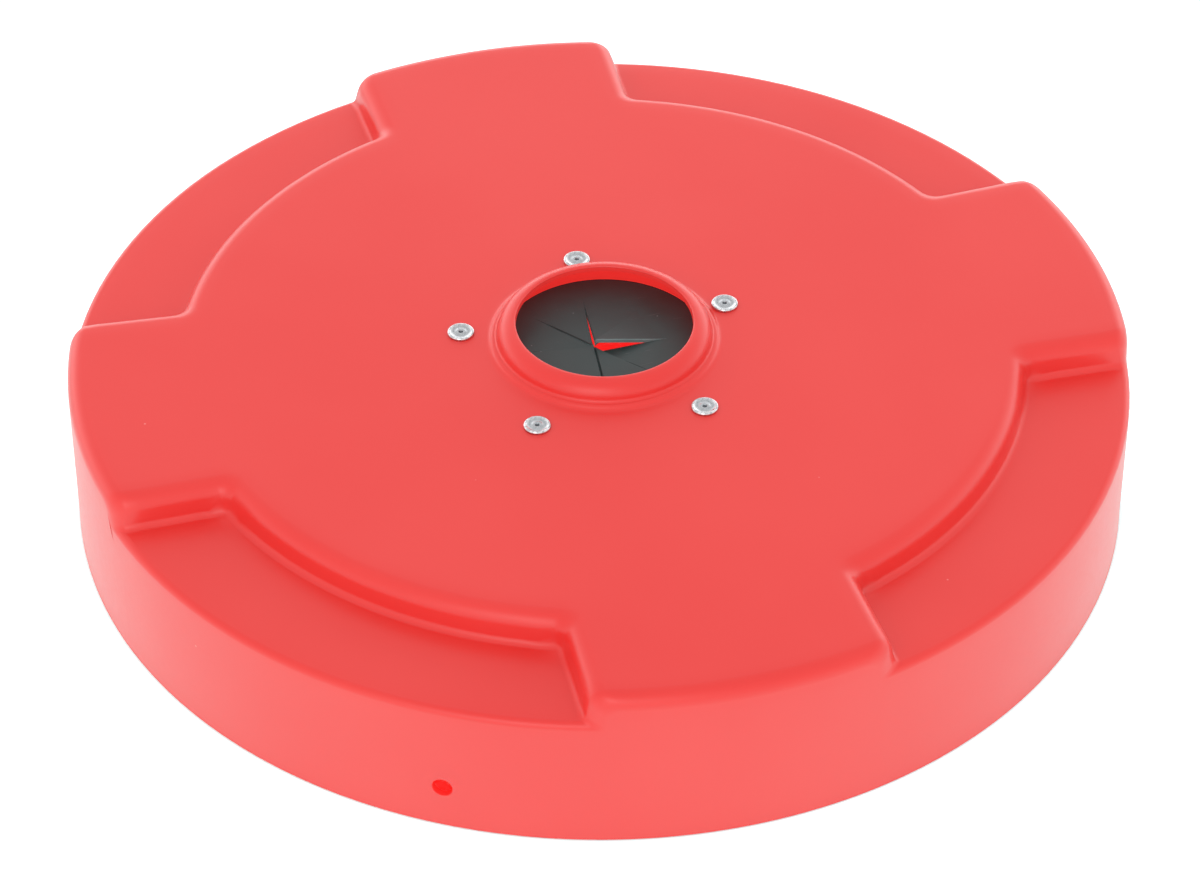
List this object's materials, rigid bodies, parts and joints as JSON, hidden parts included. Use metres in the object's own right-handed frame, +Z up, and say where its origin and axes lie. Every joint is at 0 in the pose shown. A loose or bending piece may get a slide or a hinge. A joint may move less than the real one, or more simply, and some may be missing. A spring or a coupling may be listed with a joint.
{
  "type": "drum lid",
  "caption": "Round moulded drum lid with raised lobes, rim recesses and a collared centre opening closed by a slit rubber diaphragm held by blind rivets.",
  "frame": {"origin": "middle of the open bottom, in the plane of the skirt's lower edge", "axes": "+Z up through the collar; +X and +Y along the middles of two neighbouring raised lobes"},
  "size_m": [0.61, 0.61, 0.1158],
  "materials": {
    "red_polyethylene": "satin moulded polyethylene",
    "black_rubber": "matt sheet rubber with cut edges",
    "aluminium": "satin, as formed",
    "steel": "dull drawn steel"
  },
  "bodies": {
    "lid": {"lid_shell": "red_polyethylene", "diaphragm_rim": "black_rubber", "rivet_1": "aluminium", "rivet_2": "aluminium", "rivet_3": "aluminium", "rivet_4": "aluminium", "rivet_5": "aluminium", "mandrel_1": "steel", "mandrel_2": "steel", "mandrel_3": "steel", "mandrel_4": "steel", "mandrel_5": "steel", "washer_1": "aluminium", "washer_2": "aluminium", "washer_3": "aluminium", "washer_4": "aluminium", "washer_5": "aluminium"},
    "flap_1": {"flap_1": "black_rubber"},
    "flap_2": {"flap_2": "black_rubber"},
    "flap_3": {"flap_3": "black_rubber"},
    "flap_4": {"flap_4": "black_rubber"},
    "flap_5": {"flap_5": "black_rubber"},
    "flap_6": {"flap_6": "black_rubber"},
    "flap_7": {"flap_7": "black_rubber"},
    "flap_8": {"flap_8": "black_rubber"}
  },
  "joints": [
    {"name": "flap_1_bend", "type": "hinge", "parent": "lid", "child": "flap_1", "pos_m": [0.03212, 0.00858, 0.09725], "axis": [0.284, -0.9588, 0], "range_deg": [-45, 80], "stiffness_Nm_per_rad": 0.02},
    {"name": "flap_2_bend", "type": "hinge", "parent": "lid", "child": "flap_2", "pos_m": [0.01418, 0.03074, 0.09725], "axis": [0.8788, -0.4772, 0], "range_deg": [-45, 80], "stiffness_Nm_per_rad": 0.02},
    {"name": "flap_3_bend", "type": "hinge", "parent": "lid", "child": "flap_3", "pos_m": [-0.01418, 0.03372, 0.09725], "axis": [0.9588, 0.284, 0], "range_deg": [-45, 80], "stiffness_Nm_per_rad": 0.02},
    {"name": "flap_4_bend", "type": "hinge", "parent": "lid", "child": "flap_4", "pos_m": [-0.03634, 0.01578, 0.09725], "axis": [0.4772, 0.8788, 0], "range_deg": [-45, 80], "stiffness_Nm_per_rad": 0.02},
    {"name": "flap_5_bend", "type": "hinge", "parent": "lid", "child": "flap_5", "pos_m": [-0.03932, -0.01258, 0.09725], "axis": [-0.284, 0.9588, 0], "range_deg": [-45, 80], "stiffness_Nm_per_rad": 0.02},
    {"name": "flap_6_bend", "type": "hinge", "parent": "lid", "child": "flap_6", "pos_m": [-0.02138, -0.03474, 0.09725], "axis": [-0.8788, 0.4772, 0], "range_deg": [-45, 80], "stiffness_Nm_per_rad": 0.02},
    {"name": "flap_7_bend", "type": "hinge", "parent": "lid", "child": "flap_7", "pos_m": [0.00698, -0.03772, 0.09725], "axis": [-0.9588, -0.284, 0], "range_deg": [-45, 80], "stiffness_Nm_per_rad": 0.02},
    {"name": "flap_8_bend", "type": "hinge", "parent": "lid", "child": "flap_8", "pos_m": [0.02914, -0.01978, 0.09725], "axis": [-0.4772, -0.8788, 0], "range_deg": [-45, 80], "stiffness_Nm_per_rad": 0.02}
  ]
}
